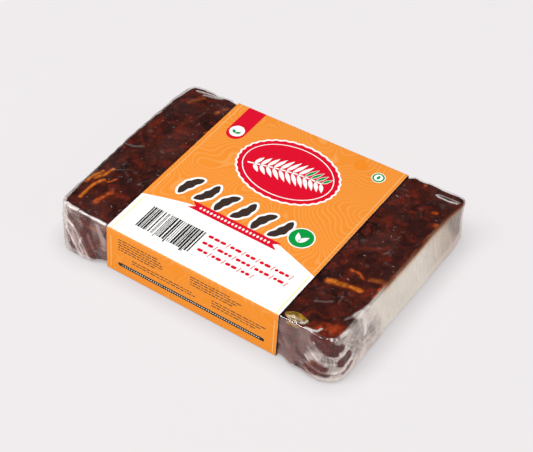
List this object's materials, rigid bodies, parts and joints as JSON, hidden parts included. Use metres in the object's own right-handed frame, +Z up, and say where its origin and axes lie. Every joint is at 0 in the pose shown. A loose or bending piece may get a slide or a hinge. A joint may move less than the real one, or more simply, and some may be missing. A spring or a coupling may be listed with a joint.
{
  "type": "film-wrapped block of pressed tamarind",
  "caption": "Flat block of pressed tamarind pulp with rounded corners, sealed in folded clear film, with a printed paper band round its middle.",
  "frame": {"origin": "on the surface that the pack lies on, under the middle of its bounding box", "axes": "+X along the block's long side, towards its deeper end; +Y from the front to the back, so that the printed panel reads from the front; +Z up, out of the face with the print"},
  "size_m": [0.1528, 0.1102, 0.0248],
  "materials": {
    "pulp": null,
    "film": "clear, crinkled wrapping film, hazy where it is folded in several layers",
    "paper": "coated paper printed in orange, white, red, green and dark brown"
  },
  "bodies": {
    "root": {"pulp_block": "pulp", "film_wrap": "film", "label_band": "paper"}
  },
  "joints": []
}
